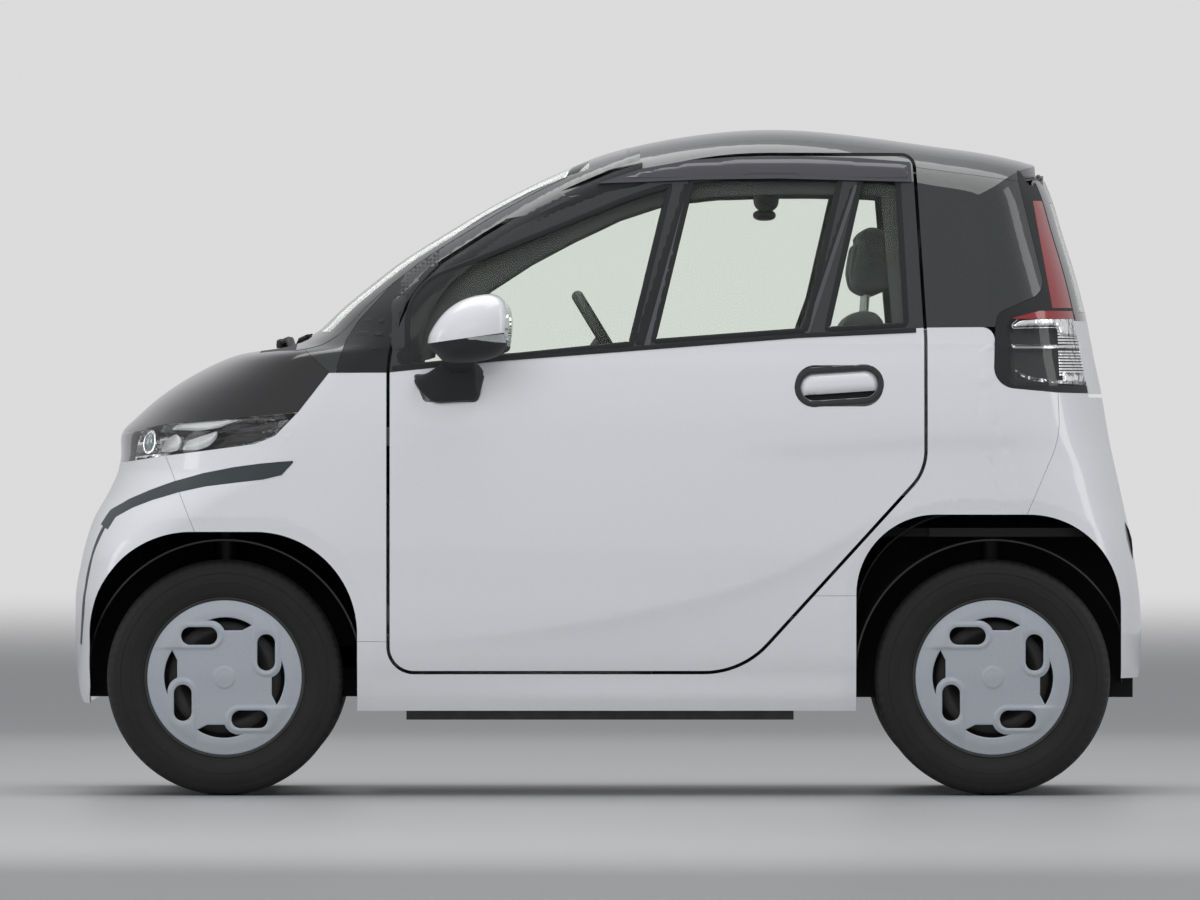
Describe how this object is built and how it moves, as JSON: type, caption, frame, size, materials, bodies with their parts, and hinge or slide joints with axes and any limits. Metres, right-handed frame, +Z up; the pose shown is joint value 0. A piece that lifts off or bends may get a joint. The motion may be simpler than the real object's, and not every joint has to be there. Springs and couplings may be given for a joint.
{
  "type": "two-seat electric microcar",
  "caption": "Short two-seat electric city car with a one-box body, two side doors, a tailgate and covered wheels.",
  "frame": {"origin": "on the ground, midway between the two axles and on the middle line", "axes": "+X from nose to tail, +Y to the car's right, +Z up"},
  "size_m": [2.4891, 1.66, 1.5503],
  "materials": {
    "white_panel": "pearl white paint over moulded panels",
    "dark_panel": "dark grey-green metallic paint",
    "black_gloss": "gloss black",
    "dark_plastic": "grained dark plastic",
    "accent_grey": "satin dark grey",
    "clear_lamp": "clear lens over pale reflectors",
    "red_lamp": "red and clear lens",
    "window_glass": "pale green tint",
    "wheel_paint": "silver-blue satin paint",
    "tyre_rubber": "black rubber",
    "dark_metal": "black coated steel",
    "steel_parts": "plain steel",
    "battery_case": "coated steel case",
    "motor_case": "cast housing",
    "cabin_plastic": "soft grained plastic",
    "seat_fabric": "woven dark grey"
  },
  "bodies": {
    "root": {"accent_strips": "accent_grey", "front_bumper": "white_panel", "front_fenders": "white_panel", "rockers": "white_panel", "rear_quarters": "white_panel", "upper_quarters": "dark_panel", "vent_panels": "dark_plastic", "side_rails": "dark_panel", "bonnet": "black_gloss", "nose_garnish": "black_gloss", "headlamps": "clear_lamp", "windscreen": "window_glass", "cowl_panel": "dark_plastic", "roof_panel": "dark_panel", "lamp_pillars": "dark_plastic", "tail_lamps": "red_lamp", "lower_grille": "dark_plastic", "rear_bumper": "white_panel", "hinges": "steel_parts", "wheel_liners": "dark_plastic", "floor_platform": "dark_metal", "battery_pack": "battery_case", "drive_unit": "motor_case", "front_subframe": "dark_metal", "rear_axle": "dark_metal", "dashboard": "cabin_plastic", "steering_column": "cabin_plastic", "seat_frames": "dark_metal", "seat_cushions": "seat_fabric", "seat_backs": "seat_fabric", "inner_mirror": "cabin_plastic", "wipers": "dark_plastic"},
    "knuckle_left": {"knuckle_left": "steel_parts"},
    "knuckle_right": {"knuckle_right": "steel_parts"},
    "steering_rack": {"steering_rack": "steel_parts"},
    "steering_wheel": {"steering_wheel": "cabin_plastic"},
    "wheel_front_left": {"wheel_front_left": "wheel_paint", "tyre_front_left": "tyre_rubber"},
    "wheel_front_right": {"wheel_front_right": "wheel_paint", "tyre_front_right": "tyre_rubber"},
    "wheel_rear_left": {"wheel_rear_left": "wheel_paint", "tyre_rear_left": "tyre_rubber"},
    "wheel_rear_right": {"wheel_rear_right": "wheel_paint", "tyre_rear_right": "tyre_rubber"},
    "door_left": {"door_panel_left": "white_panel", "door_frame_left": "dark_panel", "door_glass_left": "window_glass", "door_handle_left": "dark_plastic", "mirror_left": "white_panel"},
    "door_right": {"door_panel_right": "white_panel", "door_frame_right": "dark_panel", "door_glass_right": "window_glass", "door_handle_right": "dark_plastic", "mirror_right": "white_panel"},
    "tailgate": {"tailgate": "white_panel", "tailgate_glass": "window_glass"}
  },
  "joints": [
    {"name": "steer_left", "type": "hinge", "parent": "root", "child": "knuckle_left", "pos_m": [-0.89, -0.49, 0.2735], "axis": [0, 0, 1], "range_deg": [-30, 30]},
    {"name": "steer_right", "type": "hinge", "parent": "root", "child": "knuckle_right", "pos_m": [-0.89, 0.49, 0.2735], "axis": [0, 0, 1], "range_deg": [-30, 30]},
    {"name": "rack_slide", "type": "slide", "parent": "root", "child": "steering_rack", "axis": [0, 1, 0], "range_m": [-0.058, 0.058]},
    {"name": "steering_wheel_turn", "type": "hinge", "parent": "root", "child": "steering_wheel", "pos_m": [0.015, 0.27, 1.015], "axis": [0.8572, 0, 0.515], "range_deg": [-451, 451]},
    {"name": "roll_front_left", "type": "hinge", "parent": "knuckle_left", "child": "wheel_front_left", "pos_m": [-0.89, -0.55, 0.2735], "axis": [0, 1, 0], "continuous": true},
    {"name": "roll_front_right", "type": "hinge", "parent": "knuckle_right", "child": "wheel_front_right", "pos_m": [-0.89, 0.55, 0.2735], "axis": [0, 1, 0], "continuous": true},
    {"name": "roll_rear_left", "type": "hinge", "parent": "root", "child": "wheel_rear_left", "pos_m": [0.89, -0.55, 0.2735], "axis": [0, 1, 0], "continuous": true},
    {"name": "roll_rear_right", "type": "hinge", "parent": "root", "child": "wheel_rear_right", "pos_m": [0.89, 0.55, 0.2735], "axis": [0, 1, 0], "continuous": true},
    {"name": "door_left_swing", "type": "hinge", "parent": "root", "child": "door_left", "pos_m": [-0.447, -0.627, 0.6], "axis": [0, 0, -1], "range_deg": [0, 65]},
    {"name": "door_right_swing", "type": "hinge", "parent": "root", "child": "door_right", "pos_m": [-0.447, 0.627, 0.6], "axis": [0, 0, 1], "range_deg": [0, 65]},
    {"name": "tailgate_lift", "type": "hinge", "parent": "root", "child": "tailgate", "pos_m": [1.002, 0, 1.436], "axis": [0, -1, 0], "range_deg": [0, 78]}
  ],
  "couplings": [
    {"joint": "steer_right", "follows": "steer_left", "ratio": 1},
    {"joint": "rack_slide", "follows": "steer_left", "m_per_rad": 0.1098},
    {"joint": "steering_wheel_turn", "follows": "steer_left", "ratio": 15}
  ]
}
